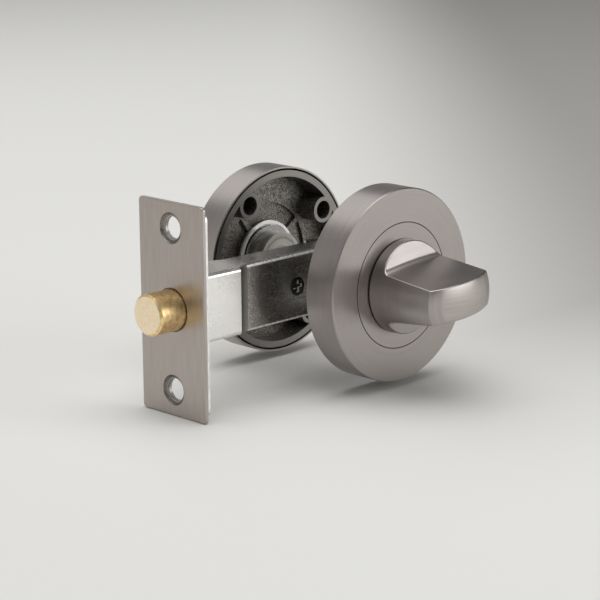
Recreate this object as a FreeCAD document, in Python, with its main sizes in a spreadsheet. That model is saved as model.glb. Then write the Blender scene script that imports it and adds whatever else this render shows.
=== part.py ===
import FreeCAD, Part
import math
import os

import Sketcher

Vector = FreeCAD.Vector

# Bathroom thumb turn lock: a 60 mm backset privacy latch with a round thumb turn
# rose on the inside of the door and a round release rose on the outside.
# Frame: the origin is where the latch is fixed, on the back face of the forend,
# midway between its two screw holes. +X goes into the door, +Y towards the release
# side, +Z up. The bolt is drawn thrown, as it stands when the door is locked.

SIZES = (
    # Faceplate and the forend plate behind it
    ("backset", 60.0, "faceplate front to spindle axis"),
    ("plate_height", 56.0, "decorative faceplate"),
    ("plate_width", 24.2, "decorative faceplate"),
    ("plate_thickness", 0.95, "decorative faceplate"),
    ("plate_corner", 1.1, "corner radius"),
    ("plate_softening", 0.3, "rolled front edge"),
    ("forend_height", 53.4, "cast plate behind the faceplate"),
    ("forend_width", 23.6, "cast plate behind the faceplate"),
    ("forend_thickness", 0.95, "cast plate behind the faceplate"),
    ("forend_corner", 2.5, "corner radius"),
    ("fixing_spacing", 42.4, "between the two wood screw holes"),
    ("fixing_hole", 5.8, "clear hole for a wood screw"),
    ("countersink_margin", 1.15, "pressed countersink round the hole"),
    # Bolt
    ("bolt_diameter", 10.9, "brass bolt"),
    ("bolt_length", 17.6, "brass bolt"),
    ("bolt_chamfer", 0.6, "nose chamfer"),
    ("opening_gap", 0.3, "bolt to its hole in the faceplate"),
    ("running_gap", 0.06, "radial gap of a shaft or bolt in its hole"),
    ("guide_length", 7.0, "saddles of the forend that guide the bolt"),
    ("guide_gap", 0.08, "saddles to case"),
    ("guide_clear", 3.0, "height above centre where a saddle starts"),
    # Pressed steel case
    ("case_height", 18.0, "outside"),
    ("case_front_width", 12.6, "outside, round the bolt"),
    ("case_rear_width", 10.0, "outside, behind the joggle"),
    ("case_end_width", 7.6, "outside, at the closed end"),
    ("case_behind_spindle", 11.0, "closed end past the spindle axis"),
    ("case_sheet", 0.75, "sheet thickness"),
    ("case_bend", 1.1, "outside radius of the folded edges"),
    ("joggle_start", 16.5, "from the forend to the joggle"),
    ("joggle_run", 3.2, "length of the sloping step"),
    ("joggle_round", 0.8, "outside radius of the joggle bends"),
    ("cover_gap", 0.05, "cover inside the shell"),
    ("lug_length", 10.4, "peened lugs of the cover"),
    ("lug_ahead", 3.2, "centre of the lugs ahead of the spindle axis"),
    ("lug_stand", 0.4, "lugs above the case"),
    # Screw that closes the case, with its pillar
    ("screw_ahead", 19.7, "screw ahead of the spindle axis"),
    ("screw_head", 5.1, "countersunk head"),
    ("screw_shank", 2.5, "thread"),
    ("screw_grip", 3.6, "thread inside the pillar"),
    ("screw_slot_width", 0.9, "cross slot"),
    ("screw_slot_depth", 0.6, "cross slot"),
    ("screw_slot_reach", 1.6, "cross slot from the middle"),
    ("dimple_depth", 1.15, "pressed seat for the head"),
    ("dimple_clear", 0.1, "head to seat"),
    ("pillar_diameter", 3.4, "threaded pillar"),
    ("spigot_diameter", 2.4, "pillar end riveted into the cover"),
    # Follower, its arm and the bolt tail
    ("follower_hub", 8.2, "hub between the tail arms"),
    ("follower_flange", 12.4, "flanges beside the tail"),
    ("follower_journal", 9.2, "journals in the case"),
    ("journal_stand", 0.25, "journals proud of the case"),
    ("flange_gap", 0.25, "flange to the case wall"),
    ("side_gap", 0.25, "flange to the tail"),
    ("arm_tip", 2.4, "rounded tip of the arm"),
    ("notch_web", 0.85, "tail above its notch; sets the reach of the arm and so the throw"),
    ("arm_neck", 1.6, "arm below its tip"),
    ("arm_side", 0.1, "arm thinner than the tail on each side"),
    ("quarter_turn", 90.0, "turn of the knob from thrown to drawn back"),
    ("tail_thickness", 3.0, "steel bolt tail"),
    ("tongue_length", 7.6, "tail inside the bolt"),
    ("tongue_height", 8.4, "tail inside the bolt"),
    ("tongue_gap", 0.1, "tail to bolt slot"),
    ("bar_height", 10.0, "middle of the tail"),
    ("tail_headroom", 0.15, "fork to the inside of the case"),
    ("hub_room", 0.3, "hub to the fork"),
    ("pillar_room", 0.25, "pillar to its slot"),
    ("notch_room", 0.24, "arm tip to the sides of its notch"),
    ("notch_top", 0.11, "arm tip to the top of its notch"),
    ("fork_finger", 3.2, "fork past the notch"),
    ("fork_slope", 2.9, "length of the fork shoulders"),
    ("fork_root", 1.7, "solid web between shoulders and hub window"),
    ("tail_pin_diameter", 2.4, "cross pin of the tail"),
    ("tail_pin_length", 10.2, "cross pin of the tail"),
    # Leaf that keeps the tail from rattling
    ("leaf_thickness", 0.35, "spring leaf"),
    ("leaf_width", 6.0, "spring leaf"),
    ("leaf_length", 9.0, "spring leaf"),
    ("leaf_from_joggle", 1.0, "joggle to the leaf"),
    ("leaf_foot", 1.5, "flat feet on the cover"),
    ("leaf_touch", 0.02, "leaf to the tail and to the cover"),
    # Square spindle
    ("spindle_square", 5.0, "across the flats"),
    ("spindle_fit", 0.06, "to each side of its sockets"),
    ("spindle_in_knob", 15.6, "past the back of the thumb turn rose"),
    ("spindle_in_release", 6.8, "past the back of the release rose"),
    ("socket_spare", 0.3, "socket deeper than the spindle"),
    ("turn_tilt", 5.3, "blade of the knob above level as photographed"),
    ("spindle_pin_diameter", 1.6, "spring pin through shank and spindle"),
    ("spindle_pin_length", 14.4, "spring pin"),
    ("spindle_pin_depth", 2.1, "spring pin past the back of the rose"),
    # Roses, the same on both sides
    ("rose_diameter", 52.2, "cap"),
    ("rose_depth", 9.5, "cap"),
    ("cap_wall", 0.45, "side of the cap"),
    ("cap_face", 0.8, "face of the cap"),
    ("cap_edge", 0.25, "edge of the face"),
    ("boss_diameter", 33.8, "boss of the base, flush with the cap"),
    ("seam_gap", 0.15, "boss to the hole of the cap"),
    ("base_gap", 0.55, "cast base to the side of the cap"),
    ("base_ring", 1.8, "wall of the cast base"),
    ("base_floor", 6.4, "depth of the floor from the back of the rose"),
    ("pocket_depth", 1.0, "sector pockets in the floor"),
    ("pocket_inset", 1.7, "rim of the boss to the pockets"),
    ("pocket_reach", 5.0, "pockets from their outer to their inner arc"),
    ("rib_width", 1.5, "ribs between the pockets"),
    ("post_inset", 5.6, "rim of the rose to the middle of a post"),
    ("post_diameter", 7.4, "posts"),
    ("post_hole", 5.2, "holes for through bolts or wood screws"),
    ("post_phase", 34.75, "first post above level on the release rose"),
    ("front_rose_back", 14.35, "back of the thumb turn rose from the latch centre"),
    ("rear_rose_back", 21.9, "back of the release rose from the latch centre"),
    ("shank_diameter", 15.2, "shank of the knob and of the release turn"),
    ("shank_recess", 0.15, "shank short of the back of the rose"),
    # Cup, spring washer and circlip that hold each shank
    ("cup_room", 0.4, "circlip to the plated cup round it"),
    ("cup_sheet", 0.5, "plated cup"),
    ("cup_height", 1.1, "lip above the floor"),
    ("cup_lip", 0.6, "rolled lip past the wall of the cup"),
    ("cup_clear", 0.25, "shank to the hole of the cup"),
    ("groove_depth", 0.5, "circlip groove in the shank"),
    ("circlip_thickness", 0.8, "circlip"),
    ("circlip_reach", 1.4, "circlip past the shank"),
    ("circlip_fit", 0.05, "circlip in its groove"),
    ("circlip_mouth", 42.0, "opening of the circlip in degrees"),
    ("washer_sheet", 0.25, "spring washer"),
    ("washer_rise", 0.5, "spring washer"),
    ("washer_clear", 0.3, "shank to the hole of the spring washer"),
    ("washer_inset", 0.1, "spring washer inside the rim of the circlip"),
    ("washer_touch", 0.03, "spring washer to its neighbours"),
    # Thumb turn
    ("knob_gap", 0.35, "knob to the face of the rose"),
    ("knob_base", 25.4, "diameter at the rose"),
    ("knob_shoulder", 23.75, "diameter where the end begins"),
    ("knob_side", 20.45, "rose face to the shoulder"),
    ("knob_length", 23.8, "rose face to the tip of the end"),
    ("blade_tip", 9.35, "blade thickness at the tip"),
    ("blade_root", 13.75, "blade thickness at the crease"),
    ("crease_height", 4.2, "rose face to the crease"),
    ("rim_height", 3.15, "rose face to the rim above the scoop"),
    ("crease_radius", 2.0, "fillet in the crease"),
    ("blade_crown", 150.0, "radius of the blade's crown"),
    ("knob_edge", 0.4, "softened edges of the blade"),
    # Release turn
    ("release_head", 20.0, "disc on the outside of the rose"),
    ("release_rise", 1.3, "disc proud of the rose"),
    ("release_gap", 0.15, "disc to the rose"),
    ("coin_slot_width", 1.8, "slot for a coin"),
    ("coin_slot_depth", 0.9, "slot for a coin"),
    ("release_edge", 0.3, "softened edge"),
)

doc = FreeCAD.newDocument("bathroom_thumb_turn_lock")
sheet = doc.addObject("Spreadsheet::Sheet", "Sizes")
for row, (alias, number, note) in enumerate(SIZES, start=1):
    sheet.set("A%d" % row, alias)
    sheet.set("B%d" % row, str(number))
    sheet.set("C%d" % row, note)
    sheet.setAlias("B%d" % row, alias)
doc.recompute()


def of(text):
    """Size names in a formula become cells of the sheet."""
    words = []
    word = ""
    for letter in text + " ":
        if letter.isalnum() or letter == "_":
            word += letter
        else:
            words.append("Sizes." + word if word in NAMES else word)
            words.append(letter)
            word = ""
    return "".join(words).strip()


def value(text):
    """The number that a formula of sizes gives."""
    result = sheet.evalExpression(of(str(text)))
    return float(getattr(result, "Value", result))


NAMES = {alias for alias, number, note in SIZES}

# Places that several pieces share, as formulas of the sizes
SPINDLE_X = "(backset - plate_thickness - forend_thickness)"
PLATE_FRONT = "(plate_thickness + forend_thickness)"
CASE_END = "(%s + case_behind_spindle)" % SPINDLE_X
JOGGLE_END = "(joggle_start + joggle_run)"
JOGGLE_STEP = "((case_front_width - case_rear_width) / 2)"
INNER_SHIFT = "(case_sheet * tan(atan(%s / joggle_run) / 2))" % JOGGLE_STEP
CASE_TAPER = "((case_rear_width - case_end_width) / 2 / (%s - %s))" % (CASE_END, JOGGLE_END)
SCREW_X = "(%s - screw_ahead)" % SPINDLE_X
HALF_AT_SCREW = "(case_rear_width / 2 - %s * (%s - %s))" % (CASE_TAPER, SCREW_X, JOGGLE_END)
HALF_AT_SPINDLE = "(case_rear_width / 2 - %s * (%s - %s))" % (CASE_TAPER, SPINDLE_X, JOGGLE_END)
INNER_HALF_HEIGHT = "(case_height / 2 - case_sheet)"
FORK_HALF = "(%s - tail_headroom)" % INNER_HALF_HEIGHT
PIN_RADIUS = "(%s - notch_web - notch_top - arm_tip / 2)" % FORK_HALF
THROW = "(2 * %s * sin(quarter_turn / 2))" % PIN_RADIUS
BOLT_REAR = "(bolt_length - %s - %s)" % (THROW, PLATE_FRONT)
WINDOW_HALF = "(follower_hub / 2 + hub_room)"
NOTCH_HALF = "(arm_tip / 2 + notch_room)"
NOTCH_TOP = "(%s + arm_tip / 2 + notch_top)" % PIN_RADIUS
SOCKET = "(spindle_square / 2 + spindle_fit)"
CIRCLIP_TOP = "(base_floor - cup_sheet - washer_rise)"
BASE_RADIUS = "(rose_diameter / 2 - cap_wall - base_gap)"
POST_RADIUS = "(rose_diameter / 2 - post_inset)"
CIRCLIP_RADIUS = "(shank_diameter / 2 + circlip_reach)"
CUP_RADIUS = "(%s + cup_room + cup_sheet)" % CIRCLIP_RADIUS

# A half circle drawn a hair flatter, because its two ends alone already fix it
HALF_ROUND = "(%s) * 1.0001"

BODIES = []


def new_body(label):
    """An empty body, kept in the list of pieces."""
    body = doc.addObject("PartDesign::Body", label)
    body.Label = label
    BODIES.append(body)
    return body


def bind(target, path, text):
    """Ties a property of an object to a formula of sizes."""
    target.setExpression(path, of(text))


def sketch_on(body, name, role, shift=("0", "0", "0"), turn=None):
    """A sketch on one of the body's own planes, shifted along and across it."""
    sketch = body.newObject("Sketcher::SketchObject", name)
    plane = [item for item in body.Origin.OriginFeatures if item.Role == role]
    sketch.AttachmentSupport = [(plane[0], "")]
    sketch.MapMode = "FlatFace"
    if turn is not None:
        spin = FreeCAD.Rotation(Vector(0, 0, 1), 30.0)
        sketch.AttachmentOffset = FreeCAD.Placement(Vector(), spin)
        bind(sketch, "AttachmentOffset.Rotation.Angle", turn)
    for axis, text in zip("xyz", shift):
        if text != "0":
            bind(sketch, "AttachmentOffset.Base." + axis, text)
    return sketch


def hold(sketch, kind, text, *where):
    """Adds one dimension to a sketch and ties it to a formula."""
    index = sketch.addConstraint(Sketcher.Constraint(kind, *where, value(text)))
    bind(sketch, "Constraints[%d]" % index, text)


def hold_point(sketch, index, end, x, y):
    """Places one end of an edge from the sketch's origin."""
    if abs(value(x)) < 1e-9:
        sketch.addConstraint(Sketcher.Constraint("PointOnObject", index, end, -2))
    else:
        hold(sketch, "DistanceX", x, -1, 1, index, end)
    if abs(value(y)) < 1e-9:
        sketch.addConstraint(Sketcher.Constraint("PointOnObject", index, end, -1))
    else:
        hold(sketch, "DistanceY", y, -1, 1, index, end)


def bulge_point(start, end, radius, side):
    """The middle of an arc from start to end, on the side it bulges to."""
    chord = end.sub(start)
    half = chord.Length / 2
    normal = Vector(-chord.y, chord.x, 0).normalize().multiply(side)
    rise = radius - math.sqrt(max(radius * radius - half * half, 0.0))
    return start.add(end).multiply(0.5).add(normal.multiply(rise))


def outline(sketch, corners):
    """A closed outline. A corner is (x, y), or (x, y, radius, side) where an arc leaves it."""
    spots = [Vector(value(corner[0]), value(corner[1]), 0) for corner in corners]
    edges = []
    for index, corner in enumerate(corners):
        start = spots[index]
        end = spots[(index + 1) % len(spots)]
        if len(corner) == 2:
            edges.append(sketch.addGeometry(Part.LineSegment(start, end), False))
        else:
            middle = bulge_point(start, end, value(corner[2]), corner[3])
            edges.append(sketch.addGeometry(Part.Arc(start, middle, end), False))
    ends = []
    for index, edge in enumerate(edges):
        first = sketch.getPoint(edge, 1)
        ends.append((1, 2) if first.distanceToPoint(spots[index]) < 1e-6 else (2, 1))
    for index, edge in enumerate(edges):
        following = (index + 1) % len(edges)
        joined = Sketcher.Constraint(
            "Coincident", edge, ends[index][1], edges[following], ends[following][0])
        sketch.addConstraint(joined)
    for index, corner in enumerate(corners):
        hold_point(sketch, edges[index], ends[index][0], corner[0], corner[1])
        if len(corner) == 4:
            hold(sketch, "Radius", corner[2], edges[index])


def ring(sketch, x, y, diameter):
    """A circle at a place of the sketch."""
    centre = Vector(value(x), value(y), 0)
    circle = Part.Circle(centre, Vector(0, 0, 1), value(diameter) / 2)
    index = sketch.addGeometry(circle, False)
    hold_point(sketch, index, 3, x, y)
    hold(sketch, "Diameter", diameter, index)


def box_outline(sketch, x_low, x_high, y_low, y_high):
    """A rectangle between two corners."""
    outline(sketch, ((x_low, y_low), (x_high, y_low), (x_high, y_high), (x_low, y_high)))


def feature(body, kind, name, sketch):
    """A feature that reads one sketch."""
    made = body.newObject("PartDesign::" + kind, name)
    made.Profile = sketch
    sketch.Visibility = False
    return made


def pad(body, name, sketch, length, midplane=False, back=False):
    """Adds the sketch's area, along its normal unless told otherwise."""
    made = feature(body, "Pad", name, sketch)
    bind(made, "Length", length)
    made.Midplane = midplane
    made.Reversed = back
    doc.recompute()
    return made


def pocket(body, name, sketch, depth, midplane=False, back=False):
    """Cuts the sketch's area away and checks that something was cut."""
    before = body.Shape.Volume
    made = feature(body, "Pocket", name, sketch)
    bind(made, "Length", depth)
    made.Midplane = midplane
    made.Reversed = back
    doc.recompute()
    if not body.Shape.Volume < before - 1e-6:
        raise RuntimeError("the cut %s of %s removes nothing" % (name, body.Label))
    return made


def revolve(body, name, sketch, axis="V_Axis", kind="Revolution"):
    """Turns the sketch's area round one of its own axes."""
    made = feature(body, kind, name, sketch)
    made.ReferenceAxis = (sketch, [axis])
    made.Angle = 360.0
    doc.recompute()
    return made


def groove(body, name, sketch, axis="V_Axis", angle=None):
    """Cuts a turned groove, a full turn or an angle to both sides of the sketch."""
    before = body.Shape.Volume
    made = feature(body, "Groove", name, sketch)
    made.ReferenceAxis = (sketch, [axis])
    made.Angle = 360.0
    if angle is not None:
        made.Midplane = True
        made.Angle = angle
    doc.recompute()
    if not body.Shape.Volume < before - 1e-6:
        raise RuntimeError("the groove %s of %s removes nothing" % (name, body.Label))
    return made


def copies(body, kind, name, originals, setting):
    """A pattern or a mirror of features, which becomes the body's tip."""
    made = body.newObject("PartDesign::" + kind, name)
    made.Originals = originals
    for key, content in setting.items():
        setattr(made, key, content)
    body.Tip = made
    doc.recompute()
    return made


def axis_of(body, role):
    """One of the body's own axes or planes."""
    return [item for item in body.Origin.OriginFeatures if item.Role == role][0]


def soften(body, name, kind, size, wanted):
    """Fillets or chamfers the edges whose middle point passes a test."""
    names = []
    for index, edge in enumerate(body.Shape.Edges, start=1):
        middle = edge.valueAt((edge.FirstParameter + edge.LastParameter) / 2)
        if wanted(middle, edge):
            names.append("Edge%d" % index)
    if not names:
        raise RuntimeError("no edge found for %s of %s" % (name, body.Label))
    before = body.Tip
    made = body.newObject("PartDesign::" + kind, name)
    made.Base = (before, names)
    bind(made, "Radius" if kind == "Fillet" else "Size", size)
    body.Tip = made
    doc.recompute()
    return made


def place(body, x="0", y="0", z="0", turns=()):
    """Puts a body at its place, turned first about its own axes."""
    spin = FreeCAD.Rotation()
    for axis, text in turns:
        spin = FreeCAD.Rotation(axis, value(text)).multiply(spin)
    body.Placement = FreeCAD.Placement(Vector(value(x), value(y), value(z)), spin)
    for letter, text in zip("xyz", (x, y, z)):
        if text != "0":
            bind(body, "Placement.Base." + letter, text)


def near(a, b, within=0.02):
    """Two lengths are the same."""
    return abs(a - b) < within


# Faceplate: a satin plate 0.95 mm thick with two countersunk holes and a hole
# for the bolt
def make_faceplate():
    body = new_body("faceplate")
    plate = sketch_on(body, "plate_outline", "YZ_Plane", ("0", "0", "-%s" % PLATE_FRONT))
    half_width = "plate_width / 2"
    half_height = "plate_height / 2"
    box_outline(plate, "-" + half_width, half_width, "-" + half_height, half_height)
    ring(plate, "0", "0", "bolt_diameter + 2 * opening_gap")
    ring(plate, "0", "fixing_spacing / 2", "fixing_hole")
    ring(plate, "0", "-fixing_spacing / 2", "fixing_hole")
    pad(body, "plate", plate, "plate_thickness")
    side = value(half_width)
    top = value(half_height)
    soften(body, "corners", "Fillet", "plate_corner",
           lambda p, e: near(abs(p.y), side) and near(abs(p.z), top))
    front = -value(PLATE_FRONT)
    spread = value("plate_width / 4")
    soften(body, "rolled_edge", "Fillet", "min(plate_softening; plate_thickness * 0.6)",
           lambda p, e: near(p.x, front) and (abs(p.y) > spread or abs(p.z) > top - spread))
    sink = sketch_on(body, "sink", "XZ_Plane", ("-%s" % PLATE_FRONT, "fixing_spacing / 2", "0"))
    outline(sink, (
        ("0", "0"),
        ("plate_thickness", "0"),
        ("plate_thickness", "fixing_hole / 2"),
        ("plate_thickness * 0.75", "fixing_hole / 2 + countersink_margin * 0.07",
         "countersink_margin * 1.1", -1),
        ("0", "fixing_hole / 2 + countersink_margin")))
    upper = groove(body, "upper_countersink", sink, "H_Axis")
    copies(body, "Mirrored", "lower_countersink", [upper],
           {"MirrorPlane": (axis_of(body, "XY_Plane"), [""])})


# Forend: the cast plate that carries the case, with two saddles inside the case
# that guide the bolt
def make_forend_plate():
    body = new_body("forend_plate")
    plate = sketch_on(body, "plate_outline", "YZ_Plane")
    half_width = "forend_width / 2"
    half_height = "forend_height / 2"
    box_outline(plate, "-" + half_width, half_width, "-" + half_height, half_height)
    ring(plate, "0", "0", "bolt_diameter + 2 * running_gap")
    ring(plate, "0", "fixing_spacing / 2", "fixing_hole")
    ring(plate, "0", "-fixing_spacing / 2", "fixing_hole")
    pad(body, "plate", plate, "forend_thickness", back=True)
    side = value(half_width)
    top = value(half_height)
    soften(body, "corners", "Fillet", "forend_corner",
           lambda p, e: near(abs(p.y), side) and near(abs(p.z), top))
    saddle = sketch_on(body, "saddle_section", "YZ_Plane")
    reach = "case_front_width / 2 - case_sheet - guide_gap"
    bore = "bolt_diameter / 2 + running_gap"
    foot = "sqrt((%s) ^ 2 - guide_clear ^ 2)" % bore
    crown = "%s - guide_gap" % INNER_HALF_HEIGHT
    outline(saddle, (
        (foot, "guide_clear", bore, -1),
        ("-(%s)" % foot, "guide_clear"),
        ("-(%s)" % reach, "guide_clear"),
        ("-(%s)" % reach, crown),
        (reach, crown),
        (reach, "guide_clear")))
    upper = pad(body, "upper_saddle", saddle, "guide_length")
    copies(body, "Mirrored", "lower_saddle", [upper],
           {"MirrorPlane": (axis_of(body, "XY_Plane"), [""])})


def case_outline(inset, end):
    """Half of the case seen from above, from the forend back to a given end."""
    shift = "0" if inset == "0" else INNER_SHIFT
    return (
        ("0", "case_front_width / 2 - %s" % inset),
        ("joggle_start - %s" % shift, "case_front_width / 2 - %s" % inset),
        ("%s - %s" % (JOGGLE_END, shift),
         "case_rear_width / 2 - %s + %s * %s" % (inset, CASE_TAPER, shift)),
        (end, "case_rear_width / 2 - %s - %s * (%s - %s)" % (inset, CASE_TAPER, end, JOGGLE_END)))


# Case shell: one steel pressing with the near side, top, bottom and closed end,
# stepped in behind the bolt, and with a pressed seat for the screw
def make_case_shell():
    body = new_body("case_shell")
    far = case_outline("0", CASE_END)
    near_side = [(x, "-(%s)" % y) for x, y in reversed(far)]
    plan = sketch_on(body, "plan", "XY_Plane")
    outline(plan, tuple(far) + tuple(near_side))
    pad(body, "block", plan, "case_height", midplane=True)
    turns = (value("joggle_start"), value(JOGGLE_END))
    half = value("case_height / 2")
    soften(body, "joggle_bends", "Fillet", "joggle_round",
           lambda p, e: near(p.z, 0) and (near(p.x, turns[0]) or near(p.x, turns[1])))
    end = value(CASE_END)
    bend = value("case_bend")
    soften(body, "end_bends", "Fillet", "case_bend", lambda p, e: near(p.z, 0) and near(p.x, end))
    soften(body, "folded_edges", "Fillet", "case_bend",
           lambda p, e: near(abs(p.z), half) and p.x > 0.01 and (p.y < -bend or p.x > end - 1.5 * bend))
    room = sketch_on(body, "room", "XY_Plane")
    inner = case_outline("case_sheet", "%s - case_sheet" % CASE_END)
    beyond = "case_front_width"
    outline(room, tuple((x, "-(%s)" % y) for x, y in inner) + (
        ("%s - case_sheet" % CASE_END, beyond),
        ("0", beyond)))
    pocket(body, "hollow", room, "case_height - 2 * case_sheet", midplane=True)
    seat = sketch_on(body, "screw_seat", "XY_Plane", (SCREW_X, "0", "0"))
    head = "screw_head / 2 + dimple_clear"
    neck = "screw_shank / 2 + dimple_clear"
    skin = "-%s" % HALF_AT_SCREW
    outline(seat, (
        ("0", "%s + case_sheet * 0.5" % skin),
        ("%s + case_sheet * 1.2" % head, "%s + case_sheet * 0.5" % skin),
        ("%s + case_sheet * 1.2" % head, "%s + case_sheet" % skin),
        ("%s + case_sheet * 0.7" % neck, "%s + dimple_depth + case_sheet" % skin),
        ("0", "%s + dimple_depth + case_sheet" % skin)))
    revolve(body, "pressed_seat", seat)
    cone = sketch_on(body, "screw_cone", "XY_Plane", (SCREW_X, "0", "0"))
    outline(cone, (
        ("0", "%s - case_sheet" % skin),
        (head, "%s - case_sheet" % skin),
        (head, skin),
        (neck, "%s + dimple_depth" % skin),
        (neck, "0"),
        ("0", "0")))
    groove(body, "screw_hole", cone)
    journal = sketch_on(body, "journal_hole", "XZ_Plane")
    ring(journal, SPINDLE_X, "0", "follower_journal + 2 * running_gap")
    pocket(body, "near_journal", journal, "case_front_width", back=True)
    slots = sketch_on(body, "lug_slots", "XY_Plane")
    middle = "%s - lug_ahead" % SPINDLE_X
    half_lug = "(lug_length / 2 + cover_gap)"
    box_outline(
        slots,
        "%s - %s" % (middle, half_lug),
        "%s + %s" % (middle, half_lug),
        "%s - case_sheet - 4 * cover_gap" % HALF_AT_SPINDLE,
        "case_front_width")
    pocket(body, "slots_for_lugs", slots, "case_height * 2", midplane=True)


# Case cover: the far side of the case, a stepped plate inside the shell, held by
# peened lugs and by the riveted pillar
def make_case_cover():
    body = new_body("case_cover")
    end = "%s - case_sheet - cover_gap" % CASE_END
    outer = case_outline("0", end)
    inner = case_outline("case_sheet", end)
    plan = sketch_on(body, "plan", "XY_Plane")
    outline(plan, tuple(outer) + tuple(reversed(inner)))
    pad(body, "plate", plan, "case_height - 2 * case_sheet - 2 * cover_gap", midplane=True)
    middle = "%s - lug_ahead" % SPINDLE_X
    low = "%s - lug_length / 2" % middle
    high = "%s + lug_length / 2" % middle
    lugs = sketch_on(body, "lug_plan", "XY_Plane")
    slope = "case_rear_width / 2 - %s * (%s - %s)"
    outline(lugs, (
        (low, slope % (CASE_TAPER, low, JOGGLE_END)),
        (low, (slope % (CASE_TAPER, low, JOGGLE_END)) + " - case_sheet"),
        (high, (slope % (CASE_TAPER, high, JOGGLE_END)) + " - case_sheet"),
        (high, slope % (CASE_TAPER, high, JOGGLE_END))))
    pad(body, "lugs", lugs, "case_height + 2 * lug_stand", midplane=True)
    holes = sketch_on(body, "holes", "XZ_Plane")
    ring(holes, SPINDLE_X, "0", "follower_journal + 2 * running_gap")
    ring(holes, SCREW_X, "0", "spigot_diameter")
    pocket(body, "journal_and_spigot", holes, "case_front_width")


# Pillar: a threaded steel post between the cover and the screw seat
def make_screw_pillar():
    body = new_body("screw_pillar")
    section = sketch_on(body, "section", "XY_Plane")
    foot = "-(%s - dimple_depth - case_sheet)" % HALF_AT_SCREW
    shoulder = "%s - case_sheet - %s * pillar_diameter / 2" % (HALF_AT_SCREW, CASE_TAPER)
    outline(section, (
        ("screw_shank / 2", foot),
        ("pillar_diameter / 2", foot),
        ("pillar_diameter / 2", shoulder),
        ("spigot_diameter / 2", shoulder),
        ("spigot_diameter / 2", HALF_AT_SCREW),
        ("0", HALF_AT_SCREW),
        ("0", "%s + screw_grip + cover_gap" % foot),
        ("screw_shank / 2", "%s + screw_grip + cover_gap" % foot)))
    revolve(body, "post", section)
    place(body, x=SCREW_X)


# Case screw: countersunk, with a cross slot
def make_case_screw():
    body = new_body("case_screw")
    section = sketch_on(body, "section", "XY_Plane")
    face = "-%s" % HALF_AT_SCREW
    seat = "-(%s - dimple_depth - case_sheet)" % HALF_AT_SCREW
    outline(section, (
        ("0", face),
        ("screw_head / 2", face),
        ("screw_shank / 2", "%s + dimple_depth" % face),
        ("screw_shank / 2", "%s + screw_grip" % seat),
        ("0", "%s + screw_grip" % seat)))
    revolve(body, "screw", section)
    cross = sketch_on(body, "cross", "XZ_Plane", ("0", "0", HALF_AT_SCREW), turn="turn_tilt")
    arm = "screw_slot_reach"
    half = "screw_slot_width / 2"
    outline(cross, (
        (arm, "-" + half),
        (arm, half),
        (half, half),
        (half, arm),
        ("-" + half, arm),
        ("-" + half, half),
        ("-" + arm, half),
        ("-" + arm, "-" + half),
        ("-" + half, "-" + half),
        ("-" + half, "-" + arm),
        (half, "-" + arm),
        (half, "-" + half)))
    pocket(body, "cross_slot", cross, "screw_slot_depth")
    place(body, x=SCREW_X)


# Leaf spring: a bowed strip between the cover and the tail
def make_friction_spring():
    body = new_body("friction_spring")
    start = "%s + leaf_from_joggle" % JOGGLE_END
    middle = "%s + leaf_length / 2" % start
    half_here = "case_rear_width / 2 - %s * (leaf_from_joggle + leaf_length)" % CASE_TAPER
    wall = "%s - case_sheet - leaf_touch" % half_here
    crown = "tail_thickness / 2 + leaf_touch"
    bow = "leaf_length / 2 - leaf_foot"
    plan = sketch_on(body, "plan", "XY_Plane", (middle, "0", "0"))
    outline(plan, (
        ("-leaf_length / 2", wall),
        ("-leaf_length / 2", "%s - leaf_thickness" % wall),
        ("-(%s)" % bow, "%s - leaf_thickness" % wall),
        ("-leaf_foot / 2", crown),
        ("leaf_foot / 2", crown),
        (bow, "%s - leaf_thickness" % wall),
        ("leaf_length / 2", "%s - leaf_thickness" % wall),
        ("leaf_length / 2", wall),
        ("(%s) - leaf_thickness / 3" % bow, wall),
        ("leaf_foot / 2 - leaf_thickness / 3", "%s + leaf_thickness" % crown),
        ("-(leaf_foot / 2 - leaf_thickness / 3)", "%s + leaf_thickness" % crown),
        ("-((%s) - leaf_thickness / 3)" % bow, wall)))
    pad(body, "leaf", plan, "leaf_width", midplane=True)


# Bolt: a turned brass bar, chamfered at the nose, slotted at the back for the tail
def make_bolt():
    body = new_body("bolt")
    nose = "-(%s + %s)" % (PLATE_FRONT, THROW)
    section = sketch_on(body, "section", "XY_Plane")
    outline(section, (
        (nose, "0"),
        (nose, "bolt_diameter / 2 - bolt_chamfer"),
        ("%s + bolt_chamfer" % nose, "bolt_diameter / 2"),
        (BOLT_REAR, "bolt_diameter / 2"),
        (BOLT_REAR, "0")))
    revolve(body, "bar", section, "H_Axis")
    slot = sketch_on(body, "slot_plan", "XY_Plane")
    half = "tail_thickness / 2 + tongue_gap"
    box_outline(slot, "%s - tongue_length - tongue_gap" % BOLT_REAR, "%s + 1" % BOLT_REAR,
                "-(%s)" % half, half)
    pocket(body, "tail_slot", slot, "bolt_diameter * 1.2", midplane=True)
    hole = sketch_on(body, "pin_hole_plan", "XZ_Plane")
    ring(hole, "%s - tongue_length / 2" % BOLT_REAR, "0", "tail_pin_diameter")
    pocket(body, "pin_hole", hole, "bolt_diameter * 1.2", midplane=True)


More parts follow.
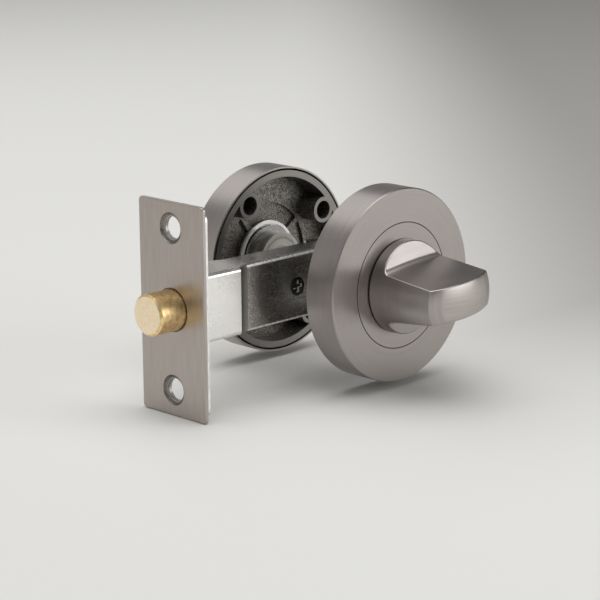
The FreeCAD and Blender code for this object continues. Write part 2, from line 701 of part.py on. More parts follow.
# Bolt tail: a steel stamping pinned in the bolt, slotted round the pillar and
# forked round the follower, whose arm works in the notch of the upper fork arm
def make_bolt_tail():
    body = new_body("bolt_tail")
    tip = "%s - tongue_length" % BOLT_REAR
    shoulder = "%s + tongue_gap" % BOLT_REAR
    window = "%s - %s - follower_hub / 2 - hub_room" % (SPINDLE_X, THROW)
    slope_end = "%s - fork_root" % window
    slope_start = "%s - fork_slope" % slope_end
    notch = "%s - %s / 2" % (SPINDLE_X, THROW)
    finger = "%s + %s + fork_finger" % (notch, NOTCH_HALF)
    outline_sketch = sketch_on(body, "stamping", "XZ_Plane")
    tongue = "tongue_height / 2"
    bar = "bar_height / 2"
    outline(outline_sketch, (
        (tip, "-" + tongue),
        (shoulder, "-" + tongue),
        (shoulder, "-" + bar),
        (slope_start, "-" + bar),
        (slope_end, "-" + FORK_HALF),
        (finger, "-" + FORK_HALF),
        (finger, "-" + WINDOW_HALF),
        (window, "-" + WINDOW_HALF),
        (window, WINDOW_HALF),
        ("%s - %s" % (notch, NOTCH_HALF), WINDOW_HALF),
        ("%s - %s" % (notch, NOTCH_HALF), NOTCH_TOP),
        ("%s + %s" % (notch, NOTCH_HALF), NOTCH_TOP),
        ("%s + %s" % (notch, NOTCH_HALF), WINDOW_HALF),
        (finger, WINDOW_HALF),
        (finger, FORK_HALF),
        (slope_end, FORK_HALF),
        (slope_start, bar),
        (shoulder, bar),
        (shoulder, tongue),
        (tip, tongue)))
    pad(body, "plate", outline_sketch, "tail_thickness", midplane=True)
    slot = sketch_on(body, "pillar_slot_plan", "XZ_Plane")
    room = "pillar_diameter / 2 + pillar_room"
    first = "%s - %s" % (SCREW_X, THROW)
    outline(slot, (
        (first, "-(%s)" % room),
        (SCREW_X, "-(%s)" % room, HALF_ROUND % room, -1),
        (SCREW_X, room),
        (first, room, HALF_ROUND % room, -1)))
    pocket(body, "pillar_slot", slot, "tail_thickness * 2", midplane=True)
    hole = sketch_on(body, "pin_hole_plan", "XZ_Plane")
    ring(hole, "%s - tongue_length / 2" % BOLT_REAR, "0", "tail_pin_diameter")
    pocket(body, "pin_hole", hole, "tail_thickness * 2", midplane=True)


def make_tail_pin():
    """Cross pin: a plain steel pin through bolt and tail."""
    body = new_body("tail_pin")
    section = sketch_on(body, "section", "XZ_Plane")
    ring(section, "%s - tongue_length / 2" % BOLT_REAR, "0", "tail_pin_diameter")
    pad(body, "pin", section, "tail_pin_length", midplane=True)


def square_socket(body, name, start, depth, midplane=False, turn=None):
    """A square hole along the spindle axis that starts at a height of the body."""
    opening = sketch_on(body, name + "_section", "XZ_Plane", ("0", "0", start), turn=turn)
    box_outline(opening, "-" + SOCKET, SOCKET, "-" + SOCKET, SOCKET)
    return pocket(body, name, opening, depth, midplane=midplane)


# Follower: the cast hub that the spindle turns, with an arm that draws the bolt
def make_follower():
    body = new_body("follower")
    waist = "tail_thickness / 2 + side_gap"
    flange = "%s - case_sheet - flange_gap" % HALF_AT_SPINDLE
    journal = "%s + journal_stand" % HALF_AT_SPINDLE
    section = sketch_on(body, "section", "XY_Plane")
    half = (
        ("follower_hub / 2", waist),
        ("follower_flange / 2", waist),
        ("follower_flange / 2", flange),
        ("follower_journal / 2", flange),
        ("follower_journal / 2", journal))
    mirrored = tuple((x, "-(%s)" % y) for x, y in reversed(half))
    outline(section, half + (("0", journal), ("0", "-(%s)" % journal)) + mirrored)
    revolve(body, "hub", section)
    arm = sketch_on(body, "arm_outline", "XZ_Plane", turn="quarter_turn / 2")
    outline(arm, (
        ("-arm_neck / 2", "0"),
        ("arm_neck / 2", "0"),
        ("arm_neck / 2", PIN_RADIUS),
        ("-arm_neck / 2", PIN_RADIUS)))
    pad(body, "arm_neck", arm, "tail_thickness - 2 * arm_side", midplane=True)
    tip = sketch_on(body, "tip_outline", "XZ_Plane", turn="quarter_turn / 2")
    ring(tip, "0", PIN_RADIUS, "arm_tip")
    pad(body, "arm_tip", tip, "tail_thickness - 2 * arm_side", midplane=True)
    square_socket(body, "square", "0", "case_front_width * 2", midplane=True, turn="turn_tilt")
    place(body, x=SPINDLE_X)


# Spindle: a square steel bar from the knob through the follower to the release turn
def make_spindle():
    body = new_body("spindle")
    half = "spindle_square / 2"
    section = sketch_on(body, "section", "XZ_Plane", ("0", "0", "front_rose_back + spindle_in_knob"))
    box_outline(section, "-" + half, half, "-" + half, half)
    pad(body, "bar", section,
        "front_rose_back + spindle_in_knob + rear_rose_back + spindle_in_release", back=True)
    hole = sketch_on(body, "pin_hole_section", "YZ_Plane")
    ring(hole, "-(front_rose_back + spindle_pin_depth)", "0", "spindle_pin_diameter")
    pocket(body, "pin_hole", hole, "spindle_square * 2", midplane=True)
    place(body, x=SPINDLE_X, turns=((Vector(0, -1, 0), "turn_tilt"),))


# The next pieces are drawn with the back of their rose at Y 0 and its face towards
# +Y. The release side stands like that, and the thumb turn side is turned round.
def place_rose_piece(body, side, tilted=False):
    turns = []
    if side == "front":
        if tilted:
            turns.append((Vector(0, 1, 0), "turn_tilt"))
        turns.append((Vector(0, 0, 1), "180"))
        place(body, SPINDLE_X, "-front_rose_back", "0", turns)
    else:
        if tilted:
            turns.append((Vector(0, -1, 0), "turn_tilt"))
        place(body, SPINDLE_X, "rear_rose_back", "0", turns)


# Rose cap: a turned metal cup with a hole for the boss of the base
def make_rose_cap(side):
    body = new_body(side + "_rose_cap")
    radius = "rose_diameter / 2"
    under = "rose_depth - cap_face"
    section = sketch_on(body, "section", "XY_Plane")
    outline(section, (
        ("boss_diameter / 2 + seam_gap", under),
        ("boss_diameter / 2 + seam_gap", "rose_depth"),
        ("%s - cap_edge" % radius, "rose_depth"),
        (radius, "rose_depth - cap_edge"),
        (radius, "0"),
        ("%s - cap_wall" % radius, "0"),
        ("%s - cap_wall" % radius, under)))
    revolve(body, "cup", section)
    place_rose_piece(body, side)


# Rose base: a zinc casting with a flush boss in the cap, a ring that stands on the
# door, a floor with four sector pockets between ribs, and four drilled posts
def make_rose_base(side):
    body = new_body(side + "_rose_base")
    bore = "shank_diameter / 2 + running_gap"
    under = "rose_depth - cap_face"
    inside = "%s - base_ring" % BASE_RADIUS
    section = sketch_on(body, "section", "XY_Plane")
    outline(section, (
        (bore, "base_floor"),
        (bore, "rose_depth"),
        ("boss_diameter / 2", "rose_depth"),
        ("boss_diameter / 2", under),
        (BASE_RADIUS, under),
        (BASE_RADIUS, "0"),
        (inside, "0"),
        (inside, "base_floor")))
    revolve(body, "casting", section)
    phase = "post_phase" if side == "rear" else "90 - post_phase"
    around = axis_of(body, "Y_Axis")
    posts = sketch_on(body, "post_outline", "XZ_Plane", turn=phase)
    ring(posts, POST_RADIUS, "0", "post_diameter")
    post = pad(body, "post", posts, "base_floor + pocket_depth / 2", back=True)
    copies(body, "PolarPattern", "posts", [post],
           {"Axis": (around, [""]), "Angle": 360.0, "Occurrences": 4})
    hole_plan = sketch_on(body, "hole_outline", "XZ_Plane", turn=phase)
    ring(hole_plan, POST_RADIUS, "0", "post_hole")
    hole = pocket(body, "post_hole", hole_plan, "rose_depth")
    copies(body, "PolarPattern", "post_holes", [hole],
           {"Axis": (around, [""]), "Angle": 360.0, "Occurrences": 4})
    plan = sketch_on(body, "pocket_outline", "XZ_Plane", ("0", "0", "-base_floor"), turn=phase)
    outer = "(boss_diameter / 2 - pocket_inset)"
    inner = "(%s - pocket_reach)" % outer
    rib = "rib_width / 2"
    far = "sqrt((%s) ^ 2 - (%s) ^ 2)" % (outer, rib)
    close = "sqrt((%s) ^ 2 - (%s) ^ 2)" % (inner, rib)
    outline(plan, (
        (far, rib, outer, -1),
        (rib, far),
        (rib, close, inner, 1),
        (close, rib)))
    sector = pocket(body, "sector", plan, "pocket_depth")
    copies(body, "PolarPattern", "sectors", [sector],
           {"Axis": (around, [""]), "Angle": 360.0, "Occurrences": 4})
    place_rose_piece(body, side)


# Cup: plated steel, pressed, with a rolled lip
def make_hub_cup(side):
    body = new_body(side + "_hub_cup")
    wall = CUP_RADIUS
    lip = "%s + cup_lip" % CUP_RADIUS
    section = sketch_on(body, "section", "XY_Plane")
    round_off = "cup_sheet * 0.5"
    outline(section, (
        ("shank_diameter / 2 + cup_clear", "base_floor"),
        (wall, "base_floor"),
        (wall, "base_floor - cup_height + cup_sheet"),
        ("%s - %s" % (lip, round_off), "base_floor - cup_height + cup_sheet",
         HALF_ROUND % round_off, -1),
        ("%s - %s" % (lip, round_off), "base_floor - cup_height"),
        ("%s - cup_sheet" % wall, "base_floor - cup_height"),
        ("%s - cup_sheet" % wall, "base_floor - cup_sheet"),
        ("shank_diameter / 2 + cup_clear", "base_floor - cup_sheet")))
    revolve(body, "cup", section)
    place_rose_piece(body, side)


# Spring washer: a coned steel ring that takes up the end play of the shank
def make_spring_washer(side):
    body = new_body(side + "_spring_washer")
    low = "base_floor - cup_sheet - washer_touch"
    high = "%s + washer_touch" % CIRCLIP_TOP
    section = sketch_on(body, "section", "XY_Plane")
    rim = "%s - washer_inset" % CIRCLIP_RADIUS
    bore = "shank_diameter / 2 + washer_clear"
    outline(section, (
        (rim, low),
        (rim, "%s - washer_sheet" % low),
        (bore, high),
        (bore, "%s + washer_sheet" % high)))
    revolve(body, "cone", section)
    place_rose_piece(body, side)


# Circlip: an open steel ring in the groove of the shank
def make_circlip(side):
    body = new_body(side + "_circlip")
    inner = "shank_diameter / 2 - groove_depth + circlip_fit"
    section = sketch_on(body, "section", "XY_Plane")
    outline(section, (
        (inner, CIRCLIP_TOP),
        (CIRCLIP_RADIUS, CIRCLIP_TOP),
        (CIRCLIP_RADIUS, "%s - circlip_thickness" % CIRCLIP_TOP),
        (inner, "%s - circlip_thickness" % CIRCLIP_TOP)))
    revolve(body, "ring", section)
    mouth = sketch_on(body, "mouth_outline", "XZ_Plane")
    reach = "(2 * %s)" % CIRCLIP_RADIUS
    spread = "%s * tan(circlip_mouth / 2)" % reach
    outline(mouth, (("0", "0"), (reach, "-(%s)" % spread), (reach, spread)))
    pocket(body, "mouth", mouth, "rose_depth")
    place_rose_piece(body, side, tilted=True)


def shank_section(head):
    """Half section of a shank with its circlip groove, closed by the points of its head."""
    radius = "shank_diameter / 2"
    floor = "%s - groove_depth" % radius
    groove_high = "%s + circlip_fit" % CIRCLIP_TOP
    groove_low = "%s - circlip_thickness - circlip_fit" % CIRCLIP_TOP
    return (
        ("0", "shank_recess"),
        (radius, "shank_recess"),
        (radius, groove_low),
        (floor, groove_low),
        (floor, groove_high),
        (radius, groove_high)) + head


# Thumb turn: one turned and milled piece. A tapering round base carries a blade
# that two scoops leave standing, with a domed end
def make_thumb_turn():
    body = new_body("thumb_turn")
    under = "rose_depth + knob_gap"
    shoulder = "rose_depth + knob_side"
    tip = "rose_depth + knob_length"
    rise = "(knob_length - knob_side)"
    dome = "((knob_shoulder / 2) ^ 2 + %s ^ 2) / (2 * %s)" % (rise, rise)
    section = sketch_on(body, "section", "XY_Plane")
    outline(section, shank_section((
        ("shank_diameter / 2", under),
        ("knob_base / 2", under),
        ("knob_shoulder / 2", shoulder, dome, -1),
        ("0", tip))))
    revolve(body, "turned_form", section)
    scoop = sketch_on(body, "scoop_section", "YZ_Plane", ("0", "-blade_crown", "0"))
    slope = "atan((blade_root - blade_tip) / 2 / (knob_length - crease_height))"
    rake = "atan((knob_base - blade_root) / 2 / (crease_height - rim_height))"
    run_out = "crease_radius * tan((%s - %s) / 2)" % (rake, slope)
    outline(scoop, (
        (tip, "blade_crown + blade_tip / 2"),
        ("rose_depth + crease_height + %s * cos(%s)" % (run_out, slope),
         "blade_crown + blade_root / 2 - %s * sin(%s)" % (run_out, slope),
         "crease_radius", 1),
        ("rose_depth + crease_height - %s * cos(%s)" % (run_out, rake),
         "blade_crown + blade_root / 2 + %s * sin(%s)" % (run_out, rake)),
        ("rose_depth + rim_height", "blade_crown + knob_base / 2"),
        ("rose_depth + rim_height", "blade_crown + knob_base"),
        (tip, "blade_crown + knob_base")))
    upper = groove(body, "upper_scoop", scoop, "H_Axis", angle=50.0)
    copies(body, "Mirrored", "lower_scoop", [upper],
           {"MirrorPlane": (axis_of(body, "XY_Plane"), [""])})
    rim = value("rose_depth + rim_height") - 0.01
    across = value("blade_tip / 4")
    soften(body, "blade_edges", "Fillet", "knob_edge",
           lambda p, e: p.y > rim and (abs(p.x) > across or abs(p.z) > value("knob_base / 2") - 1
                                       or p.y > value(shoulder)))
    square_socket(body, "square", "-shank_recess", "spindle_in_knob + socket_spare - shank_recess",
                  midplane=False)
    pin = sketch_on(body, "pin_hole_section", "YZ_Plane")
    ring(pin, "spindle_pin_depth", "0", "spindle_pin_diameter")
    pocket(body, "pin_hole", pin, "shank_diameter * 2", midplane=True)
    place_rose_piece(body, "front", tilted=True)


def make_spindle_pin():
    """Spring pin through the knob's shank and the spindle."""
    body = new_body("spindle_pin")
    section = sketch_on(body, "section", "YZ_Plane")
    ring(section, "spindle_pin_depth", "0", "spindle_pin_diameter")
    pad(body, "pin", section, "spindle_pin_length", midplane=True)
    place_rose_piece(body, "front", tilted=True)


# Release turn: a turned disc with a coin slot on a shank like the knob's
def make_release_turn():
    body = new_body("release_turn")
    face = "rose_depth + release_rise"
    section = sketch_on(body, "section", "XY_Plane")
    outline(section, shank_section((
        ("shank_diameter / 2", "rose_depth + release_gap"),
        ("release_head / 2", "rose_depth + release_gap"),
        ("release_head / 2", face),
        ("0", face))))
    revolve(body, "turned_form", section)
    head = value("release_head / 2")
    high = value(face)
    soften(body, "edge", "Fillet", "release_edge",
           lambda p, e: near(p.y, high) and near(math.hypot(p.x, p.z), head))
    slot = sketch_on(body, "coin_slot_outline", "XZ_Plane", ("0", "0", "-(%s)" % face))
    half = "coin_slot_width / 2"
    box_outline(slot, "-release_head", "release_head", "-" + half, half)
    pocket(body, "coin_slot", slot, "coin_slot_depth", back=True)
    square_socket(body, "square", "-shank_recess", "spindle_in_release + socket_spare - shank_recess")
    place_rose_piece(body, "rear", tilted=True)


def check_and_write():
    """Stops on any failed object, then writes one file for each piece."""
    doc.recompute()
    for item in doc.Objects:
        if "Invalid" in item.State or "Error" in item.State:
            raise RuntimeError("%s failed: %s" % (item.Label, item.State))
    os.makedirs("parts", exist_ok=True)
    for body in BODIES:
        shape = body.Shape
        if shape.isNull() or not shape.isValid() or not shape.Solids:
            raise RuntimeError("%s has no sound solid" % body.Label)
        shape.exportStep("parts/%s.step" % body.Label)
        print("%-20s %d solid, %9.2f mm3" % (body.Label, len(shape.Solids), shape.Volume))


make_faceplate()
make_forend_plate()
make_case_shell()
make_case_cover()
make_screw_pillar()
make_case_screw()
make_friction_spring()
make_bolt()
make_bolt_tail()
make_tail_pin()
make_follower()
make_spindle()
for rose_side in ("front", "rear"):
    make_rose_cap(rose_side)
    make_rose_base(rose_side)
    make_hub_cup(rose_side)
    make_spring_washer(rose_side)
    make_circlip(rose_side)
make_thumb_turn()
make_spindle_pin()
make_release_turn()
check_and_write()
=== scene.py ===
import math

import bpy
from mathutils import Matrix, Vector


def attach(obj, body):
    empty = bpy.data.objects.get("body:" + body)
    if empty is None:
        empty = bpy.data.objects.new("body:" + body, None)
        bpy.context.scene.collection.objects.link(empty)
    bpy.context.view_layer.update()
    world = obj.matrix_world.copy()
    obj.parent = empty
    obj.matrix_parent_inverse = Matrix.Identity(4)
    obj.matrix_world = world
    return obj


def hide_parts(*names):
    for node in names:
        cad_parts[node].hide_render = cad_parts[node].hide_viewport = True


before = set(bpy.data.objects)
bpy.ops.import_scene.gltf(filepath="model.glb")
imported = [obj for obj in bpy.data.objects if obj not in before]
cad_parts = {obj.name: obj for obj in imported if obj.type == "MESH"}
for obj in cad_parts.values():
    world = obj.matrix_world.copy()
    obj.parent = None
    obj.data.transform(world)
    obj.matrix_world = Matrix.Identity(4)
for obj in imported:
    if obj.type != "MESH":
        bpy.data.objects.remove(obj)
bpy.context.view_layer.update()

# Faceplate
# A stamped brass plate with a satin nickel finish, rubbed along its height by a
# fine belt. Two wood screws through it fix the latch to the edge of the door.
spindle_x = 0.0581
screw_hole_z = 0.0212
sink_reach = 0.0056
nickel_color = (0.47, 0.425, 0.395, 1)


def new_finish(name, color, metallic, roughness):
    """A material with its shader, ready for texture nodes."""
    finish = bpy.data.materials.new(name)
    finish.use_nodes = True
    shader = finish.node_tree.nodes["Principled BSDF"]
    shader.inputs["Base Color"].default_value = color
    shader.inputs["Metallic"].default_value = metallic
    shader.inputs["Roughness"].default_value = roughness
    return finish, shader


def add_node(finish, kind, **settings):
    """A node of a finish; a setting that names one of its inputs fills that input."""
    node = finish.node_tree.nodes.new(kind)
    for key, value in settings.items():
        if hasattr(node, key):
            setattr(node, key, value)
        else:
            node.inputs[key.replace("_", " ")].default_value = value
    return node


def link(finish, start, end):
    """Joins an output socket to an input socket."""
    finish.node_tree.links.new(start, end)


def streaks(finish, scale, detail):
    """Noise on the object's own coordinates, stretched by three scales."""
    place = add_node(finish, "ShaderNodeTexCoord")
    stretch = add_node(finish, "ShaderNodeMapping", Scale=scale)
    noise = add_node(finish, "ShaderNodeTexNoise", Scale=1.0, Detail=detail, Roughness=0.62)
    link(finish, place.outputs["Object"], stretch.inputs["Vector"])
    link(finish, stretch.outputs["Vector"], noise.inputs["Vector"])
    return noise


def vary(finish, noise, shader, socket, low, high, start=0.3, end=0.7):
    """Spreads a noise over a range of one shader input."""
    spread = add_node(finish, "ShaderNodeMapRange")
    spread.inputs["From Min"].default_value = start
    spread.inputs["From Max"].default_value = end
    spread.inputs["To Min"].default_value = low
    spread.inputs["To Max"].default_value = high
    link(finish, noise.outputs["Fac"], spread.inputs["Value"])
    link(finish, spread.outputs["Result"], shader.inputs[socket])


def tint(finish, noise, shader, dark, light, start=0.3, end=0.7):
    """Lets a noise move the base colour between two colours."""
    ramp = add_node(finish, "ShaderNodeValToRGB")
    ramp.color_ramp.elements[0].position = start
    ramp.color_ramp.elements[0].color = dark
    ramp.color_ramp.elements[1].position = end
    ramp.color_ramp.elements[1].color = light
    link(finish, noise.outputs["Fac"], ramp.inputs["Fac"])
    link(finish, ramp.outputs["Color"], shader.inputs["Base Color"])


def emboss(finish, noise, shader, strength, distance):
    """Lets a noise raise the surface a little."""
    bump = add_node(finish, "ShaderNodeBump", Strength=strength, Distance=distance)
    link(finish, noise.outputs["Fac"], bump.inputs["Height"])
    link(finish, bump.outputs["Normal"], shader.inputs["Normal"])


def dress(node, finish):
    """Gives a CAD node its finish."""
    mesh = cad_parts[node].data
    mesh.materials.clear()
    mesh.materials.append(finish)


plate_nickel, plate_shader = new_finish("plate_nickel", nickel_color, 1.0, 0.36)
plate_rub = streaks(plate_nickel, (3600, 3600, 110), 3)
vary(plate_nickel, plate_rub, plate_shader, "Roughness", 0.30, 0.42)
tint(plate_nickel, plate_rub, plate_shader, (0.41, 0.368, 0.337, 1), (0.515, 0.465, 0.428, 1))
emboss(plate_nickel, plate_rub, plate_shader, 0.12, 0.00002)
# The countersink walls are coloured darker than the plate, painted shade in the recesses, over the real
# chatter of the cutter.
sink_painted_shade, sink_shade_shader = new_finish("sink_painted_shade", (0.20, 0.18, 0.165, 1), 1.0, 0.40)
sink_chatter = streaks(sink_painted_shade, (2200, 2200, 2200), 3)
tint(sink_painted_shade, sink_chatter, sink_shade_shader, (0.12, 0.108, 0.098, 1), (0.34, 0.31, 0.285, 1))
vary(sink_painted_shade, sink_chatter, sink_shade_shader, "Roughness", 0.32, 0.50)
emboss(sink_painted_shade, sink_chatter, sink_shade_shader, 0.4, 0.00008)
dress("faceplate", plate_nickel)
plate_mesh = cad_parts["faceplate"].data
plate_mesh.materials.append(sink_painted_shade)
for face in plate_mesh.polygons:
    from_hole = math.hypot(face.center.y, abs(face.center.z) - screw_hole_z)
    if abs(face.normal.x) < 0.97 and from_hole < sink_reach:
        face.material_index = 1

# Forend plate
# A zinc casting that carries the case and guides the bolt. Its edge is trimmed
# bright and shows behind the faceplate.
forend_edge_y = 0.0115
zinc_cast, zinc_shader = new_finish("zinc_cast", (0.42, 0.40, 0.38, 1), 1.0, 0.42)
zinc_skin = streaks(zinc_cast, (900, 900, 900), 5)
tint(zinc_cast, zinc_skin, zinc_shader, (0.34, 0.325, 0.31, 1), (0.50, 0.48, 0.46, 1))
emboss(zinc_cast, zinc_skin, zinc_shader, 0.35, 0.00006)
edge_zinc, edge_shader = new_finish("edge_zinc", (0.90, 0.885, 0.86, 1), 1.0, 0.34)
edge_cut = streaks(edge_zinc, (1400, 1400, 500), 3)
tint(edge_zinc, edge_cut, edge_shader, (0.74, 0.725, 0.70, 1), (1.0, 0.985, 0.96, 1))
vary(edge_zinc, edge_cut, edge_shader, "Roughness", 0.28, 0.42)
dress("forend_plate", zinc_cast)
forend_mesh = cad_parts["forend_plate"].data
forend_mesh.materials.append(edge_zinc)
for face in forend_mesh.polygons:
    if abs(face.center.y) > forend_edge_y and abs(face.normal.x) < 0.3:
        face.material_index = 1

# Case
# Pressed from 0.75 mm steel and bright zinc plated, with a fine grain that shows
# coarser behind the joggle. Its tone is painted light in front of the joggle and
# painted shade behind it. The cover is peened into the top and bottom walls.
joggle_start = 0.0165
joggle_end = 0.0199
painted_shade_from = 0.0215
case_end = 0.069
case_screw_x = 0.0384
screw_seat_reach = 0.0045
zinc_plate, plating_shader = new_finish("zinc_plate", (0.86, 0.84, 0.82, 1), 1.0, 0.26)
plating_grain = streaks(zinc_plate, (4300, 4300, 4300), 2)
plating_cloud = streaks(zinc_plate, (90, 120, 260), 4)
vary(zinc_plate, plating_cloud, plating_shader, "Roughness", 0.30, 0.20)
emboss(zinc_plate, plating_grain, plating_shader, 0.12, 0.00003)
plating_place = add_node(zinc_plate, "ShaderNodeTexCoord")
plating_along = add_node(zinc_plate, "ShaderNodeSeparateXYZ")
link(zinc_plate, plating_place.outputs["Object"], plating_along.inputs["Vector"])


def painted_light_by_depth(front, rear):
    """A value that changes from the front of the case, painted light, to its rear, painted shade."""
    depth = add_node(zinc_plate, "ShaderNodeMapRange")
    depth.inputs["From Min"].default_value = joggle_start
    depth.inputs["From Max"].default_value = painted_shade_from
    depth.inputs["To Min"].default_value = front
    depth.inputs["To Max"].default_value = rear
    link(zinc_plate, plating_along.outputs["X"], depth.inputs["Value"])
    return depth.outputs["Result"]


# The grain becomes a tone that is painted light in front of the joggle and painted shade behind it,
# where the grain also shows coarser.
grain_and_painted_shade = add_node(zinc_plate, "ShaderNodeMath", operation="MULTIPLY_ADD")
link(zinc_plate, plating_grain.outputs["Fac"], grain_and_painted_shade.inputs[0])
link(zinc_plate, painted_light_by_depth(0.9, 3.2), grain_and_painted_shade.inputs[1])
link(zinc_plate, painted_light_by_depth(0.46, -1.20), grain_and_painted_shade.inputs[2])
grain_and_shade_tone = add_node(zinc_plate, "ShaderNodeValToRGB")
grain_and_shade_tone.color_ramp.elements[0].color = (0.26, 0.247, 0.227, 1)
grain_and_shade_tone.color_ramp.elements[1].color = (1.0, 0.985, 0.965, 1)
link(zinc_plate, grain_and_painted_shade.outputs["Value"], grain_and_shade_tone.inputs["Fac"])
link(zinc_plate, grain_and_shade_tone.outputs["Color"], plating_shader.inputs["Base Color"])
# Painted shade on the joggle: its faces are coloured near black where the bend starts and lighter
# towards its end, over a real grain.
joggle_painted_shade, joggle_shade_shader = new_finish("joggle_painted_shade", (0.34, 0.325, 0.30, 1), 1.0, 0.36)
bend_grain = streaks(joggle_painted_shade, (3000, 3000, 900), 3)
bend_place = add_node(joggle_painted_shade, "ShaderNodeTexCoord")
bend_along = add_node(joggle_painted_shade, "ShaderNodeSeparateXYZ")
joggle_shade_fade = add_node(joggle_painted_shade, "ShaderNodeMapRange")
joggle_shade_fade.inputs["From Min"].default_value = joggle_start
joggle_shade_fade.inputs["From Max"].default_value = joggle_end + 0.0001
joggle_shade_tone = add_node(joggle_painted_shade, "ShaderNodeValToRGB")
joggle_shade_tone.color_ramp.elements[0].color = (0.12, 0.112, 0.10, 1)
joggle_shade_tone.color_ramp.elements[1].color = (0.52, 0.50, 0.47, 1)
link(joggle_painted_shade, bend_place.outputs["Object"], bend_along.inputs["Vector"])
link(joggle_painted_shade, bend_along.outputs["X"], joggle_shade_fade.inputs["Value"])
link(joggle_painted_shade, joggle_shade_fade.outputs["Result"], joggle_shade_tone.inputs["Fac"])
link(joggle_painted_shade, joggle_shade_tone.outputs["Color"], joggle_shade_shader.inputs["Base Color"])
vary(joggle_painted_shade, bend_grain, joggle_shade_shader, "Roughness", 0.32, 0.46)
emboss(joggle_painted_shade, bend_grain, joggle_shade_shader, 0.20, 0.00003)
# A painted highlight: pale, half diffuse zinc laid on the rounded folds along the top and bottom edges
# and on the rim of the screw's seat.
zinc_painted_highlight, highlight_shader = new_finish("zinc_painted_highlight", (0.95, 0.935, 0.91, 1), 0.50, 0.26)
highlight_mottle = streaks(zinc_painted_highlight, (1200, 1800, 1800), 3)
tint(zinc_painted_highlight, highlight_mottle, highlight_shader, (0.70, 0.68, 0.645, 1), (1.0, 0.985, 0.96, 1), 0.36, 0.56)
vary(zinc_painted_highlight, highlight_mottle, highlight_shader, "Roughness", 0.24, 0.38)
for name in ("case_shell", "case_cover"):
    dress(name, zinc_plate)
    case_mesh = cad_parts[name].data
    case_mesh.materials.append(joggle_painted_shade)
    case_mesh.materials.append(zinc_painted_highlight)
    for face in case_mesh.polygons:
        along, across, up = (abs(part) for part in face.normal)
        from_screw = math.hypot(face.center.x - case_screw_x, face.center.z)
        on_joggle = joggle_start - 0.0003 < face.center.x < joggle_end
        # Faces of the joggle take the painted shade.
        if on_joggle and 0.05 < along < 0.7 and across > 0.6:
            face.material_index = 1
        # Fold faces turned part way up or down, and the rim of the screw's seat, take the painted
        # highlight.
        elif joggle_end < face.center.x < case_end and 0.30 < up < 0.80 and across > 0.12:
            face.material_index = 2
        elif from_screw < screw_seat_reach and face.center.y < 0 and 0.25 < -face.normal.y < 0.97:
            face.material_index = 2

# Case screw and its pillar
# A countersunk steel screw with a cross slot. It clamps the near side of the case
# to a threaded pillar that is riveted into the cover.
slot_reach = 0.0017
slot_depth = 0.00065
# The steel is coloured nearly black, painted shade for the dark surroundings that the head reflects.
screw_steel_painted_shade, screw_shader = new_finish("screw_steel_painted_shade", (0.10, 0.098, 0.092, 1), 1.0, 0.25)
screw_wear = streaks(screw_steel_painted_shade, (1600, 1600, 1600), 4)
vary(screw_steel_painted_shade, screw_wear, screw_shader, "Roughness", 0.18, 0.36)
emboss(screw_steel_painted_shade, screw_wear, screw_shader, 0.15, 0.00003)
dress("case_screw", screw_steel_painted_shade)
dress("screw_pillar", screw_steel_painted_shade)
# The walls of the cross slot get a pale, half diffuse painted glint, and its floor a near black painted
# shade.
slot_painted_glint, glint_shader = new_finish("slot_painted_glint", (0.90, 0.88, 0.82, 1), 0.4, 0.35)
glint_mottle = streaks(slot_painted_glint, (2400, 2400, 2400), 3)
vary(slot_painted_glint, glint_mottle, glint_shader, "Roughness", 0.26, 0.46)
slot_painted_shade, slot_shade_shader = new_finish("slot_painted_shade", (0.03, 0.028, 0.025, 1), 0.4, 0.50)
slot_shade_mottle = streaks(slot_painted_shade, (2400, 2400, 2400), 3)
vary(slot_painted_shade, slot_shade_mottle, slot_shade_shader, "Roughness", 0.40, 0.65)
screw_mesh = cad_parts["case_screw"].data
screw_mesh.materials.append(slot_painted_glint)
screw_mesh.materials.append(slot_painted_shade)
screw_face = min(corner.co.y for corner in screw_mesh.vertices)
# Faces sunk into the head inside the cross: the walls take the painted glint, the floors the painted
# shade.
for face in screw_mesh.polygons:
    sunk = face.center.y - screw_face
    off_x = abs(face.center.x - case_screw_x)
    if 0.00002 < sunk < slot_depth and abs(face.center.z) < slot_reach and off_x < slot_reach:
        face.material_index = 1 if abs(face.normal.y) < 0.5 else 2

# Bolt
# Turned from brass bar, parted off and tumbled, so the metal is mottled and the
# end face is pitted.
nose_x = -0.009
brass, brass_shader = new_finish("bolt_brass", (0.86, 0.60, 0.30, 1), 1.0, 0.32)
brass_cloud = streaks(brass, (900, 900, 900), 5)
tint(brass, brass_cloud, brass_shader, (0.74, 0.49, 0.21, 1), (1.0, 0.77, 0.42, 1), 0.35, 0.60)
brass_grain = streaks(brass, (1500, 1500, 1500), 5)
vary(brass, brass_grain, brass_shader, "Roughness", 0.26, 0.44)
emboss(brass, brass_grain, brass_shader, 0.25, 0.00005)
# The end face is coloured lighter and paler than the sides, a painted highlight, over its real pits.
nose_painted_highlight, nose_highlight_shader = new_finish("nose_painted_highlight", (1.0, 0.80, 0.55, 1), 1.0, 0.34)
nose_pits = streaks(nose_painted_highlight, (1500, 1500, 1500), 4)
tint(nose_painted_highlight, nose_pits, nose_highlight_shader, (0.98, 0.75, 0.47, 1), (1.0, 0.87, 0.65, 1), 0.34, 0.56)
vary(nose_painted_highlight, nose_pits, nose_highlight_shader, "Roughness", 0.30, 0.42)
emboss(nose_painted_highlight, nose_pits, nose_highlight_shader, 0.15, 0.00004)
dress("bolt", brass)
bolt_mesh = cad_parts["bolt"].data
bolt_mesh.materials.append(nose_painted_highlight)
# Faces of the end take the lighter painted highlight.
for face in bolt_mesh.polygons:
    if face.normal.x < -0.97 and face.center.x < nose_x:
        face.material_index = 1

